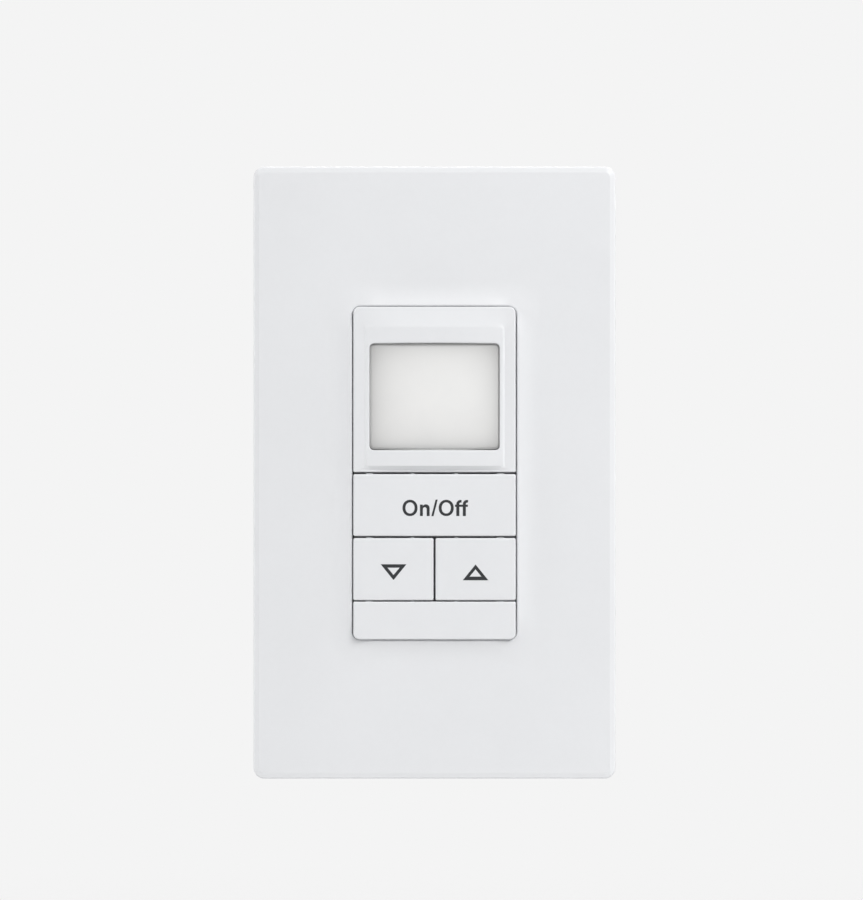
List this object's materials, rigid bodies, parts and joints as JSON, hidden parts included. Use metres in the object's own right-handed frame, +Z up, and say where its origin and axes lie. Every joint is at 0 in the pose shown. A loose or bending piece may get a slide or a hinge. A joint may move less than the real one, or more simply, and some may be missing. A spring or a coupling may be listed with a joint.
{
  "type": "occupancy sensor switch",
  "caption": "Wall-mounted occupancy sensor switch with a domed sensor lens, an On/Off button and two dimming buttons, in a screwless decorator wall plate.",
  "frame": {"origin": "centre of the device on the wall plane, midway between the two box screws", "axes": "+X to the right as seen from the front, +Y into the wall, +Z up; the front faces -Y"},
  "size_m": [0.0724, 0.042, 0.1226],
  "materials": {
    "cover_plastic": "satin white",
    "key_plastic": "satin white",
    "lens_plastic": "milky, translucent",
    "frame_plastic": "plain moulded",
    "black_plastic": "finely textured",
    "grey_plastic": "plain moulded",
    "zinc_steel": "zinc plated",
    "brass": "plain",
    "green_steel": "green plated",
    "circuit_board": "green solder mask",
    "chip_black": "moulded",
    "relay_black": "smooth",
    "capacitor_sleeve": "shrunk sleeve",
    "film_yellow": "potted box",
    "coil_tape": "wound tape",
    "absorber_blue": "dipped",
    "fuse_ceramic": "glazed",
    "filter_dark": "polished",
    "led_clear": "clear",
    "terminal_green": "moulded"
  },
  "bodies": {
    "device": {"wall_plate": "cover_plastic", "plate_subframe": "frame_plastic", "plate_screw_upper": "zinc_steel", "plate_screw_lower": "zinc_steel", "mounting_strap": "zinc_steel", "box_screw_upper": "zinc_steel", "box_screw_lower": "zinc_steel", "front_housing": "key_plastic", "fresnel_lens": "lens_plastic", "lens_holder": "black_plastic", "control_board": "circuit_board", "pir_base": "brass", "pir_can": "zinc_steel", "pir_window": "filter_dark", "status_led": "led_clear", "light_sensor": "led_clear", "on_off_switch_base": "black_plastic", "on_off_switch_cover": "zinc_steel", "on_off_snap_dome": "zinc_steel", "dim_down_switch_base": "black_plastic", "dim_down_switch_cover": "zinc_steel", "dim_down_snap_dome": "zinc_steel", "dim_up_switch_base": "black_plastic", "dim_up_switch_cover": "zinc_steel", "dim_up_snap_dome": "zinc_steel", "microcontroller": "chip_black", "board_connector": "black_plastic", "insulating_divider": "grey_plastic", "power_board": "circuit_board", "relay": "relay_black", "transformer": "coil_tape", "supply_capacitor": "capacitor_sleeve", "film_capacitor": "film_yellow", "surge_absorber": "absorber_blue", "fuse": "fuse_ceramic", "rear_housing": "black_plastic", "housing_screw_upper_left": "zinc_steel", "housing_screw_upper_right": "zinc_steel", "housing_screw_lower_left": "zinc_steel", "housing_screw_lower_right": "zinc_steel", "line_terminal_plate": "brass", "line_terminal_screw": "brass", "load_terminal_plate": "brass", "load_terminal_screw": "brass", "neutral_terminal_plate": "zinc_steel", "neutral_terminal_screw": "zinc_steel", "ground_screw": "green_steel", "dimming_terminal_block": "terminal_green", "dimming_terminal_screw_1": "zinc_steel", "dimming_terminal_screw_2": "zinc_steel"},
    "on_off_key": {"on_off_button": "key_plastic", "on_off_plunger": "grey_plastic"},
    "dim_down_key": {"dim_down_button": "key_plastic", "dim_down_plunger": "grey_plastic"},
    "dim_up_key": {"dim_up_button": "key_plastic", "dim_up_plunger": "grey_plastic"}
  },
  "joints": [
    {"name": "on_off_press", "type": "slide", "parent": "device", "child": "on_off_key", "axis": [0, 1, 0], "range_m": [0, 0.0005], "stiffness_N_per_m": 1200},
    {"name": "dim_down_press", "type": "slide", "parent": "device", "child": "dim_down_key", "axis": [0, 1, 0], "range_m": [0, 0.0005], "stiffness_N_per_m": 1200},
    {"name": "dim_up_press", "type": "slide", "parent": "device", "child": "dim_up_key", "axis": [0, 1, 0], "range_m": [0, 0.0005], "stiffness_N_per_m": 1200}
  ]
}
